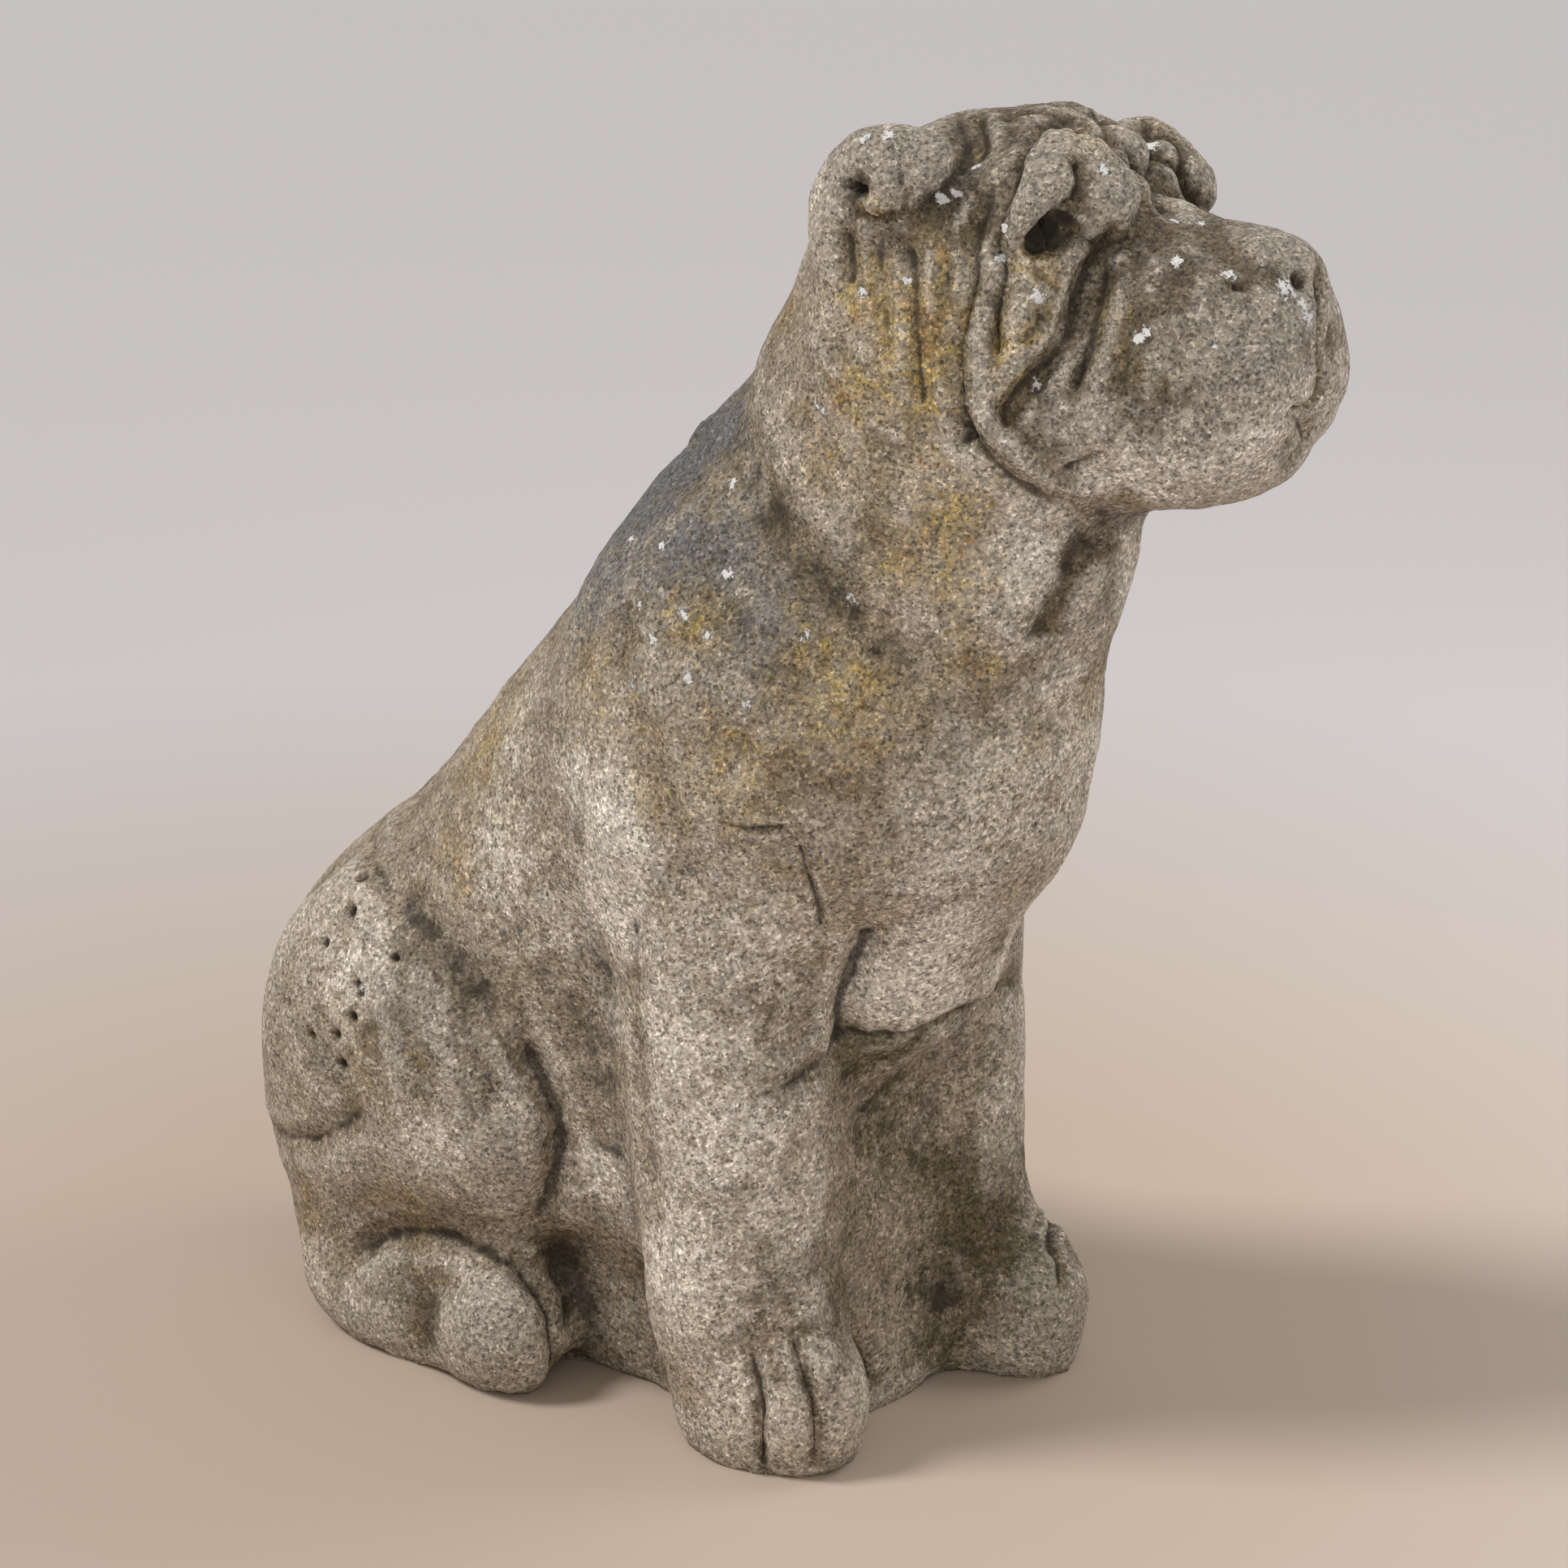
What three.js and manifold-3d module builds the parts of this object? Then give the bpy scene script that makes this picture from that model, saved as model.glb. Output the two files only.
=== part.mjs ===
// A seated bulldog garden figure, cast in one piece of stone.
// The dog faces -Y, +X is its left and +Z is up. It stands on its flat underside at z = 0.
import * as THREE from 'three';
import Module from 'manifold-3d';
import { mergeVertices } from 'three/addons/utils/BufferGeometryUtils.js';

// Driving sizes, in millimetres and degrees.
const HEIGHT = 550; // floor to the crown of the head
const STANCE = 132; // between the middles of the two forepaws
const LEFT_STEP = 12; // the left forepaw stands this far ahead of the right one
const HEAD_TURN = 14; // the head looks this far to the dog's left
const HEAD_TILT = 7; // and leans this far to its left
const LATTICE = 15; // spacing of the carving lattice away from the head and the paws
const SNAP = 0.46; // share of a lattice cell within which the skin is drawn onto a crease
const STONE = { color: 0x8f8778, roughness: 0.95, metalness: 0 };

// The figure is laid out in centimetres of a 55 cm statue, so its carving follows its height.
const cm = HEIGHT / 55;
const at = (x, y, z) => new THREE.Vector3(x * cm, y * cm, z * cm);
const PAW_X = STANCE / 2 / cm;

// Rounded forms. Each gives the distance of a point to its surface, negative inside.
function egg(centre, radii) {
  const c = at(...centre);
  const r = at(...radii);
  return (p) => {
    const [x, y, z] = [p.x - c.x, p.y - c.y, p.z - c.z];
    const k0 = Math.hypot(x / r.x, y / r.y, z / r.z);
    const k1 = Math.hypot(x / r.x ** 2, y / r.y ** 2, z / r.z ** 2);
    return k1 > 0 ? k0 * (k0 - 1) / k1 : -Math.min(...r.toArray());
  };
}

function limb(from, to, fromRadius, toRadius) {
  const axis = new THREE.Line3(at(...from), at(...to));
  const near = new THREE.Vector3();
  return (p) => {
    const t = axis.closestPointToPointParameter(p, true);
    return axis.at(t, near).distanceTo(p) - (fromRadius + (toRadius - fromRadius) * t) * cm;
  };
}

function roll(points, radius) {
  const parts = points.slice(1).map((to, i) => limb(points[i], to, radius, radius));
  return (p) => Math.min(...parts.map((part) => part(p)));
}

// Soft joins, so that one form runs into the next with a fillet of about the blend.
function softMin(a, b, blend) {
  const h = Math.max(blend - Math.abs(a - b), 0) / blend;
  return Math.min(a, b) - h * h * blend / 4;
}

const forms = [];
const add = (form, blend) => forms.push((d, p) => softMin(d, form(p), blend * cm));
const carve = (form, blend) => forms.push((d, p) => -softMin(-d, form(p), blend * cm));
const bothSides = (make) => [-1, 1].forEach(make);
const mirrored = (side, points) => points.map(([x, y, z]) => [side * x, y, z]);

// The head turns and tilts about the neck. Its own frame has x to the dog's left, y forward and z up.
const NECK = at(0, -6, 47);
const headFrame = new THREE.Matrix4().makeRotationY(THREE.MathUtils.degToRad(-HEAD_TILT))
  .multiply(new THREE.Matrix4().makeScale(1, -1, 1))
  .multiply(new THREE.Matrix4().makeRotationZ(THREE.MathUtils.degToRad(-HEAD_TURN)));
const fromHead = headFrame.clone().invert();
function inHead(form) {
  const q = new THREE.Vector3();
  return (p) => form(q.copy(p).sub(NECK).applyMatrix4(headFrame).setZ(q.z + NECK.z));
}
const addHead = (form, blend) => add(inHead(form), blend);
const carveHead = (form, blend) => carve(inHead(form), blend);

// Creases are lines on the surface, each a V of a half width and a depth.
const creases = [];
function crease(points, width, depth) {
  creases.push({ points: points.map((p) => at(...p)), width: width * cm, depth: depth * cm });
}
function creaseHead(points, width, depth) {
  crease(points, width, depth);
  for (const p of creases.at(-1).points) p.setZ(p.z - NECK.z).applyMatrix4(fromHead).add(NECK);
}

function torso() {
  add(egg([0, 7.9, 9.8], [10, 10.4, 11.3]), 1);
  add(egg([0, 7.6, 3], [9.2, 8.6, 8]), 1);
  add(limb([0, 6, 13], [0, -9, 30], 9.3, 9.4), 3);
  add(egg([0, -11.5, 29], [9.2, 9.8, 10.5]), 3);
  add(limb([0, -10.8, 33], [1.2, -16.4, 44], 8.6, 7.6), 3);
  add(egg([0.8, -15.8, 37], [6.5, 6.9, 6]), 2);
  add(egg([0, -12, 20], [6, 5.5, 5]), 1);
}

// The space between the forelegs and under the belly is filled with stone, which runs into the legs.
function web() {
  add(egg([0, -3.5, 8], [5.6, 9.8, 16]), 3);
  add(egg([0.4, -8.8, 0.6], [6, 4.6, 4.6]), 2);
  bothSides((side) => add(egg([side * 4, -3.5, 15], [4, 6, 10]), 1.5));
}

function foreleg(side) {
  const step = side > 0 ? LEFT_STEP / cm : 0;
  const x = side * PAW_X + 0.2 + step / 3;
  add(egg([side * 6.4, -9.3, 29.5], [4.6, 6.8, 8.4]), 2.5);
  add(limb([side * 6.3, -9.4, 26], [side * 6.3, -10.6, 6], 4.5, 3.9), 1.5);
  add(egg([x, -12.1 - step, 2.4], [3.2, 4.7, 4.4]), 1);
  const toeGroove = (...points) => {
    crease(points.map(([out, y, z]) => [x + side * out, y - step, z]), 0.7, 0.4);
  };
  toeGroove([2.5, -13.1, 5.6], [3.1, -14, 3], [3.1, -14.2, 0]);
  toeGroove([1.2, -14.6, 6], [1.7, -16.1, 3.6], [1.7, -16.3, 0]);
  toeGroove([-0.4, -15, 6], [-0.4, -16.7, 3.6], [-0.4, -16.9, 0]);
}

function hindleg(side) {
  add(egg([side * 7.2, 5.2, 12.8], [3.9, 9, 8.8]), 0.6);
  add(egg([side * 7.9, 5.6, 2.4], [2.3, 6.6, 3.2]), 0.8);
  add(egg([side * 8.4, 0.6, 2.4], [2.5, 3.4, 3.1]), 0.5);
  const kneeLine = [
    [9, 5.4, 20.4], [9.6, 1.4, 18.2], [9.4, -1.4, 15.4], [8.7, -3.4, 11.5], [8.5, -1.4, 6.6],
  ];
  const hockLine = [[10.2, 9.5, 3], [9.8, 5.8, 6], [9.7, 2.6, 6.8], [8.6, -1.6, 5.6], [8.6, -3.2, 2]];
  const rumpLine = [[10.2, 11, 8.4], [10.8, 8, 10], [11, 5.8, 11.8]];
  crease(mirrored(side, kneeLine), 1.5, 0.8);
  crease(mirrored(side, hockLine), 1.2, 0.6);
  crease(mirrored(side, rumpLine), 1.2, 0.4);
}

// The loose skin of the neck folds over the shoulder, and the breast stands out between the forelegs.
function neck(side) {
  const collarLine = [
    [2, -7.6, 43.4], [5, -9.6, 42], [7.6, -12.4, 39.6], [7.8, -15.5, 37.1], [6, -18.8, 33.4],
  ];
  const breastLine = [[5.7, -16.4, 23], [5, -15.1, 20], [3.9, -14.3, 16.7]];
  crease(mirrored(side, collarLine), 1.4, 0.6);
  crease(mirrored(side, breastLine), 1.2, 0.4);
}

function skull() {
  addHead(egg([0, 10.4, 46.7], [7.6, 6.9, 6.9]), 1.5);
  addHead(egg([0, 13.4, 50.4], [4.2, 3.6, 3.3]), 1.5);
  bothSides((side) => addHead(egg([side * 4.8, 11.3, 45], [3.6, 5.4, 6.4]), 1.5));
}

function muzzle() {
  bothSides((side) => addHead(egg([side * 2.5, 18.3, 44.5], [3.6, 5.8, 5]), 1));
  bothSides((side) => addHead(egg([side * 4.4, 15.6, 43], [3, 3.6, 3.3]), 1));
  addHead(egg([0, 17.8, 47], [4, 5.4, 3.5]), 1);
  addHead(egg([0, 21.8, 47.7], [3, 2.1, 2.1]), 1.2);
  addHead(egg([0, 20.6, 45], [3.6, 3.5, 4]), 1);
  addHead(egg([0, 18.3, 42], [4.9, 4.9, 3]), 1);
  bothSides((side) => carveHead(egg([side * 1.2, 23.8, 48.3], [0.7, 1, 0.6]), 0.3));
  creaseHead([[0, 24.1, 46.6], [0, 24.4, 44.5], [0, 23.8, 42.8]], 0.8, 0.5);
}

// One side of the face: the brow with its hooded eye, the ear, and the folds of the cheek and the lip.
function face(side) {
  addHead(egg([side * 3.7, 14.4, 50.4], [3.2, 3, 3]), 0.8);
  addHead(roll(mirrored(side, [[4.6, 15.2, 51.9], [5.6, 14.8, 51.2], [6.6, 13.6, 49.9]]), 1.1), 0.5);
  addHead(egg([side * 4.2, 16.3, 50.6], [1.6, 1.2, 1.9]), 0.3);
  carveHead(roll(mirrored(side, [[7, 14.4, 48.9], [5.9, 16.5, 49.7]]), 0.5), 0.4);
  addHead(egg([side * 6.7, 8.9, 50.8], [2.2, 3.1, 2.6]), 0.8);
  addHead(egg([side * 6.6, 7.3, 49.2], [1.7, 1.9, 2.4]), 1);
  carveHead(egg([side * 9, 8.2, 50.2], [0.9, 0.8, 0.9]), 0.3);
  addHead(roll(mirrored(side, [[7.4, 7, 45.4], [8, 8.9, 42.2], [7, 10.8, 39.6]]), 0.9), 1);
  addHead(roll(mirrored(side, [[8, 12.4, 43.6], [7, 14.2, 41.4], [4.6, 16, 40]]), 0.8), 0.8);
  const lidLine = [[6.4, 14.6, 49.4], [5.9, 16, 50], [5.2, 16, 52]];
  const browLine = [[6.8, 12, 50.6], [5.4, 12, 52.8], [2.8, 13.4, 53.6], [1.3, 16, 52], [1.6, 17.4, 50.2]];
  const earLine = [[3.4, 9.4, 53.6], [6.2, 11.9, 52], [8.2, 11.4, 49.8], [8.3, 8.6, 48.6]];
  const lipFold = [[4.9, 17.2, 49.9], [5.6, 16.4, 48.2], [6.9, 16.2, 45.6], [7.9, 14.5, 43]];
  const frontFold = [[6, 13.2, 51], [7.5, 13.6, 48.9], [8.2, 14, 45]];
  const cheekFold = [[7.2, 12, 49.9], [8.1, 12, 47.9], [8.6, 12, 42]];
  const backFold = [[8.2, 10.3, 48.6], [8.8, 10.4, 44]];
  const mouthLine = [[0, 23.8, 42.6], [1.6, 23.6, 42.4], [3.2, 22.2, 41.2]];
  const mouthCorner = [[5.6, 15.6, 40.6], [5.4, 17.2, 41.4]];
  creaseHead(mirrored(side, lidLine), 0.8, 0.6);
  creaseHead(mirrored(side, browLine), 0.8, 0.4);
  creaseHead(mirrored(side, earLine), 0.9, 0.4);
  creaseHead(mirrored(side, lipFold), 0.9, 0.6);
  creaseHead(mirrored(side, frontFold), 0.8, 0.4);
  creaseHead(mirrored(side, cheekFold), 0.8, 0.4);
  creaseHead(mirrored(side, backFold), 0.8, 0.35);
  creaseHead(mirrored(side, mouthLine), 0.8, 0.35);
  creaseHead(mirrored(side, mouthCorner), 0.8, 0.4);
}

torso();
bothSides(foreleg);
web();
bothSides(hindleg);
bothSides(neck);
skull();
muzzle();
bothSides(face);

// Below the floor the forms end in a plane, which the cut at z = 0 takes away.
const field = (p) => Math.max(forms.reduce((d, form) => form(d, p), Infinity), -cm - p.z);

// The slope of the field, which on the surface points straight out of the stone.
function slopeAt(p) {
  const h = 0.05 * cm;
  const d = field(p);
  const along = ['x', 'y', 'z'].map((axis) => {
    const q = p.clone();
    q[axis] += h;
    return (field(q) - d) / h;
  });
  return new THREE.Vector3(...along);
}

// Moves a point onto the surface of the forms.
function settle(p, rounds) {
  const pace = 0.7;
  for (let round = 0; round < rounds; round++) {
    const slope = slopeAt(p);
    p.addScaledVector(slope, -pace * field(p) / Math.max(slope.lengthSq(), 0.25));
  }
  return p;
}

// Each crease line is drawn onto the surface as short straight pieces.
for (const line of creases) {
  const drawn = new THREE.CatmullRomCurve3(line.points).getPoints(4 * line.points.length);
  drawn.forEach((p) => settle(p, 6));
  line.pieces = drawn.slice(1).map((p, i) => new THREE.Line3(drawn[i], p));
  line.ball = new THREE.Sphere().setFromPoints(drawn);
}

// Presses a point of the skin into the creases. A point within reach of a line goes onto the line itself,
// so that the crease is cut clean.
function press(p, reach) {
  let deepest = 0;
  let onto = p;
  let onLine = false;
  for (const { pieces, width, depth, ball } of creases) {
    if (ball.distanceToPoint(p) > width) continue;
    const near = pieces.map((piece) => piece.closestPointToPoint(p, true, new THREE.Vector3()))
      .reduce((a, b) => (b.distanceToSquared(p) < a.distanceToSquared(p) ? b : a));
    const away = near.distanceTo(p);
    const sink = depth * (away < reach ? 1 : Math.max(0, 1 - away / width));
    if (sink <= deepest) continue;
    deepest = sink;
    onLine = away < reach;
    onto = onLine ? near : p;
  }
  if (deepest === 0) return { point: p, onLine };
  return { point: onto.clone().addScaledVector(slopeAt(onto).normalize(), -deepest), onLine };
}

// The lattice is drawn together around the head and the paws, where the carving is finest.
const LENSES = [
  { centre: at(3, -20, 47), reach: 15 * cm, pull: 0.7 },
  { centre: at(-PAW_X, -14, 3), reach: 5 * cm, pull: 0.55 },
  { centre: at(PAW_X, -14, 3), reach: 5 * cm, pull: 0.55 },
];
function latticePoint(i, j, k, low) {
  const p = new THREE.Vector3(i, j, k).multiplyScalar(LATTICE).add(low);
  for (const lens of LENSES) {
    const off = p.clone().sub(lens.centre);
    p.addScaledVector(off, -lens.pull * Math.exp(-off.lengthSq() / (2 * lens.reach ** 2)));
  }
  return p;
}

// A lattice square with its corners in, out, in and out would pinch the skin, so the outer corner nearest
// to the surface is filled in. Returns how many were.
function openPinches(values, [nx, ny, nz], index) {
  const filled = -0.001 * cm;
  let changed = 0;
  const check = (...square) => {
    const inside = square.map((n) => values[n] < 0);
    if (inside[0] !== inside[2] || inside[1] !== inside[3] || inside[0] === inside[1]) return;
    const outer = square.filter((n) => values[n] >= 0);
    values[values[outer[0]] < values[outer[1]] ? outer[0] : outer[1]] = filled;
    changed++;
  };
  for (let k = 0; k < nz - 1; k++) {
    for (let j = 0; j < ny - 1; j++) {
      for (let i = 0; i < nx - 1; i++) {
        const o = index(i, j, k);
        const [x, y, z] = [index(i + 1, j, k), index(i, j + 1, k), index(i, j, k + 1)];
        check(o, x, index(i + 1, j + 1, k), y);
        check(o, y, index(i, j + 1, k + 1), z);
        check(o, z, index(i + 1, j, k + 1), x);
      }
    }
  }
  return changed;
}

// The skin has one vertex in every lattice cell that the surface crosses, and two triangles for every
// lattice edge that it crosses.
function skin(low, high) {
  const size = high.clone().sub(low).divideScalar(LATTICE).ceil();
  const [nx, ny, nz] = [size.x + 1, size.y + 1, size.z + 1];
  const index = (i, j, k) => i + nx * (j + ny * k);
  const points = [];
  for (let k = 0; k < nz; k++) {
    for (let j = 0; j < ny; j++) {
      for (let i = 0; i < nx; i++) points.push(latticePoint(i, j, k, low));
    }
  }
  const values = points.map(field);
  while (openPinches(values, [nx, ny, nz], index));

  const corners = [0, 1, 2, 3, 4, 5, 6, 7].map((n) => [n & 1, (n >> 1) & 1, (n >> 2) & 1]);
  const cellEdges = corners.flatMap((a, m) => corners.slice(m + 1)
    .filter((b) => Math.abs(a[0] - b[0]) + Math.abs(a[1] - b[1]) + Math.abs(a[2] - b[2]) === 1)
    .map((b) => [a, b]));
  const cells = new Map();
  const vertices = [];
  const onLines = [];
  const cellVertex = (i, j, k) => {
    const id = index(i, j, k);
    if (cells.has(id)) return cells.get(id);
    const crossings = [];
    for (const ends of cellEdges) {
      const [m, n] = ends.map(([a, b, c]) => index(i + a, j + b, k + c));
      if (values[m] < 0 === values[n] < 0) continue;
      crossings.push(points[m].clone().lerp(points[n], values[m] / (values[m] - values[n])));
    }
    const middle = crossings.reduce((sum, p) => sum.add(p), new THREE.Vector3());
    middle.divideScalar(crossings.length);
    const cellSize = points[id].distanceTo(points[index(i + 1, j + 1, k + 1)]) / Math.sqrt(3);
    const { point, onLine } = press(settle(middle, 3), SNAP * cellSize);
    cells.set(id, vertices.length);
    vertices.push(point);
    onLines.push(onLine);
    return cells.get(id);
  };

  const faces = [];
  const axes = [[1, 0, 0], [0, 1, 0], [0, 0, 1]];
  const diagonal = (m, n) => vertices[m].distanceTo(vertices[n]) * (onLines[m] && onLines[n] ? 0.5 : 1);
  const addFaces = (i, j, k, axis) => {
    const [step, u, v] = [axes[axis], axes[(axis + 1) % 3], axes[(axis + 2) % 3]];
    const inside = values[index(i, j, k)] < 0;
    if (inside === values[index(i + step[0], j + step[1], k + step[2])] < 0) return;
    const ring = [[0, 0], [1, 0], [1, 1], [0, 1]].map(([a, b]) => (
      cellVertex(i - u[0] * a - v[0] * b, j - u[1] * a - v[1] * b, k - u[2] * a - v[2] * b)
    ));
    if (!inside) ring.reverse();
    const [a, b, c, d] = ring;
    faces.push(...(diagonal(a, c) < diagonal(b, d) ? [a, b, c, a, c, d] : [b, c, d, b, d, a]));
  };
  for (let k = 1; k < nz - 1; k++) {
    for (let j = 1; j < ny - 1; j++) {
      for (let i = 1; i < nx - 1; i++) [0, 1, 2].forEach((axis) => addFaces(i, j, k, axis));
    }
  }
  return new THREE.BufferGeometry().setFromPoints(vertices).setIndex(faces);
}

const wasm = await Module();
wasm.setup();

function solidOf(geometry) {
  geometry.deleteAttribute('normal');
  geometry.deleteAttribute('uv');
  const merged = mergeVertices(geometry);
  return new wasm.Manifold(new wasm.Mesh({
    numProp: 3,
    vertProperties: merged.attributes.position.array,
    triVerts: new Uint32Array(merged.index.array),
  }));
}

// The carved skin is cut flat at the floor.
const carved = skin(at(-23, -44, -6), at(23, 25, 70));
const aboveFloor = new THREE.BoxGeometry(60 * cm, 100 * cm, 80 * cm).translate(0, 0, 40 * cm);
const cast = solidOf(carved).intersect(solidOf(aboveFloor)).getMesh();

const stone = new THREE.BufferGeometry();
stone.setAttribute('position', new THREE.BufferAttribute(new Float32Array(cast.vertProperties), 3));
stone.setIndex(new THREE.BufferAttribute(new Uint32Array(cast.triVerts), 1));
stone.computeVertexNormals();

const bulldog = new THREE.Mesh(stone, new THREE.MeshStandardMaterial(STONE));
bulldog.name = 'bulldog';
const figure = new THREE.Group();
figure.add(bulldog);
export default figure;
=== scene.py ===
# %% [markdown]
# # A weathered bulldog, cast in stone
#
# This notebook finishes a seated bulldog garden figure. The real thing is one casting of sand and
# cement that has stood outside for years: its carving is worn soft, its grains stand out, and
# lichen and moss have settled on it. The frame brings in the plain solid, at its real size. We make
# a finer skin over it, carve that skin, and then paint it with procedural materials.

# %% Load the frame
import math

import bpy
import numpy as np
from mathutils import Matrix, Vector, noise
from mathutils.bvhtree import BVHTree


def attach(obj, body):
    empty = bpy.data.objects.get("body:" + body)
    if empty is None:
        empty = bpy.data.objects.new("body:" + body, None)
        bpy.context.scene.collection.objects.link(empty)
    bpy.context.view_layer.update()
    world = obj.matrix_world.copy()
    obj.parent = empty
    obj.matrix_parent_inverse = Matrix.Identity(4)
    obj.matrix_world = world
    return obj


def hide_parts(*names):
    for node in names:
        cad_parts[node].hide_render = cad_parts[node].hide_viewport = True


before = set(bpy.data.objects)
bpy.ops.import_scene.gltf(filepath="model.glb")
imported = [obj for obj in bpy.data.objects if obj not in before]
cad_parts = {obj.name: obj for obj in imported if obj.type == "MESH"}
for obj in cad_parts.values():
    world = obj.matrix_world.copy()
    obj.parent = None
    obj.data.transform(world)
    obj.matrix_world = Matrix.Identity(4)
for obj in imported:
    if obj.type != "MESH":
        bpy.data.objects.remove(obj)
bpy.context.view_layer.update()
MM = 0.001


def rounded(box):
    """The corners of a box to the nearest millimetre, for printing."""
    return [tuple(round(v, 3) for v in corner) for corner in box]


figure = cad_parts["bulldog"]

# %% [markdown]
# ## The camera
#
# Everything that we carve is placed by looking at the photograph, so the camera comes first. A long
# lens from about two metres gives the calm, flat perspective of a catalogue picture. A point on the
# stone can then be named by the pixel where it shows: we send a ray from the lens through that
# pixel and take the place where it meets the stone.

# %% Camera
IMAGE = 1932  # the photograph is square, this many pixels each way
FOCAL = 6909  # focal length in those pixels
SENSOR = 36  # millimetres
CAMERA_AT = Vector((-1.667, -1.4266, 0.95))
LOOKS_AT = Vector((-0.035, -0.105, 0.27))

bpy.ops.object.camera_add(location=CAMERA_AT)
camera = bpy.context.object
camera.rotation_euler = (LOOKS_AT - CAMERA_AT).to_track_quat("-Z", "Y").to_euler()
camera.data.sensor_width = SENSOR
camera.data.lens = SENSOR * FOCAL / IMAGE
bpy.context.scene.camera = camera
camera_turn = (LOOKS_AT - CAMERA_AT).to_track_quat("-Z", "Y").to_matrix()
print("lens", round(camera.data.lens, 1), "mm")


def ray_through(pixel):
    """The direction from the camera through a pixel of the photograph."""
    x, y = pixel
    return (camera_turn @ Vector((x - IMAGE / 2, IMAGE / 2 - y, -FOCAL))).normalized()


# %% [markdown]
# ## The skin
#
# The frame's solid is faceted, which is right for weighing and dropping it but not for looking at
# it. A sculptor's way to a smooth skin is to subdivide the solid and then remesh it into small even
# squares, which take carving well everywhere. The edge round the flat underside is creased first,
# so that it stays where the solid has it.

# %% Copy the solid and smooth it
SKIN_STEP = 3.8 * MM  # side of the skin's squares
SAME_POINT = 0.01 * MM  # vertices nearer than this are one
NEARLY_FLAT = math.radians(60)  # two triangles that bend less than this make one square
FACES_DOWN = -0.9  # height of an underside face's normal
ON_FLOOR = 0.5 * MM


def select_only(piece):
    bpy.ops.object.select_all(action="DESELECT")
    piece.select_set(True)
    bpy.context.view_layer.objects.active = piece


def apply_modifier(piece, kind, **settings):
    modifier = piece.modifiers.new(kind.title(), kind)
    for name, value in settings.items():
        setattr(modifier, name, value)
    select_only(piece)
    bpy.ops.object.modifier_apply(modifier=modifier.name)


def crease_underside(piece):
    """Marks the edges round the flat underside as sharp for the subdivision."""
    mesh = piece.data
    down = {p.index for p in mesh.polygons if p.normal.z < FACES_DOWN and p.center.z < ON_FLOOR}
    beside = {}
    for p in mesh.polygons:
        for key in p.edge_keys:
            beside.setdefault(key, []).append(p.index in down)
    creases = mesh.attributes.new("crease_edge", "FLOAT", "EDGE")
    sharp = [float(sorted(beside[e.key]) == [False, True]) for e in mesh.edges]
    creases.data.foreach_set("value", sharp)


skin = figure.copy()
skin.data = figure.data.copy()
skin.name = "bulldog_stone"
skin.parent = None
bpy.context.scene.collection.objects.link(skin)
select_only(skin)
bpy.ops.object.mode_set(mode="EDIT")
bpy.ops.mesh.select_all(action="SELECT")
bpy.ops.mesh.remove_doubles(threshold=SAME_POINT)
bpy.ops.mesh.tris_convert_to_quads(face_threshold=NEARLY_FLAT, shape_threshold=NEARLY_FLAT)
bpy.ops.object.mode_set(mode="OBJECT")

crease_underside(skin)
apply_modifier(skin, "SUBSURF", levels=2, render_levels=2)
apply_modifier(skin, "REMESH", mode="VOXEL", voxel_size=SKIN_STEP)
apply_modifier(skin, "SMOOTH", factor=0.5, iterations=6)
print("skin:", len(skin.data.polygons), "faces")

# %% [markdown]
# ## Placing the carving
#
# A fold is named by a few pixels along it. The ray through each pixel gives its point on the near
# side, and the far side, which the camera can't see, gets its mirror image. The body is mirrored in
# its own middle plane. The head turns and leans to the dog's left, so it has a middle plane of its
# own.

# %% Find points on the stone
NECK = Vector((0, -0.060, 0.470))  # where the head turns
HEAD_TURN = math.radians(14)
HEAD_TILT = math.radians(7)
# The middle planes, each as a point and the direction across.
HEAD = (NECK, Vector((
    math.cos(HEAD_TURN) * math.cos(HEAD_TILT),
    math.sin(HEAD_TURN) * math.cos(HEAD_TILT),
    -math.sin(HEAD_TILT),
)))
BODY = (Vector((0, 0, 0)), Vector((1, 0, 0)))
STONE_STARTS, STONE_ENDS = 1.7, 2.5  # metres from the lens
LINE_STEP = 1.0 * MM  # between two points of a line

blank = BVHTree.FromObject(skin, bpy.context.evaluated_depsgraph_get())


def on_stone(pixel):
    """The point of the stone behind a pixel, or the nearest one if the ray just misses."""
    direction = ray_through(pixel)
    hit = blank.ray_cast(CAMERA_AT, direction)[0]
    if hit is not None:
        return hit
    steps = [CAMERA_AT + direction * d for d in np.linspace(STONE_STARTS, STONE_ENDS, 81)]
    nearest = [(blank.find_nearest(p), p) for p in steps]
    return min(nearest, key=lambda pair: pair[0][3])[0][0]


def mirrored(points, plane):
    """The same points on the other side of a middle plane, set back onto the stone."""
    centre, across = plane
    return [blank.find_nearest(p - 2 * across.dot(p - centre) * across)[0] for p in points]


def resampled(points):
    """A smooth line over the stone through some points, as points a small step apart."""
    if len(points) == 1:
        return list(points)
    line = []
    ends = [points[0]] + list(points) + [points[-1]]
    for a, b, c, d in zip(ends, ends[1:], ends[2:], ends[3:]):
        count = max(1, round((c - b).length / LINE_STEP))
        for t in (n / count for n in range(count)):
            curve = 0.5 * (2 * b + (c - a) * t + (2 * a - 5 * b + 4 * c - d) * t**2
                           + (3 * b - a - 3 * c + d) * t**3)
            line.append(blank.find_nearest(curve)[0])
    return line + [points[-1]]


print("camera looks at", rounded([on_stone((IMAGE / 2, IMAGE / 2))])[0], "on the stone")

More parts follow.
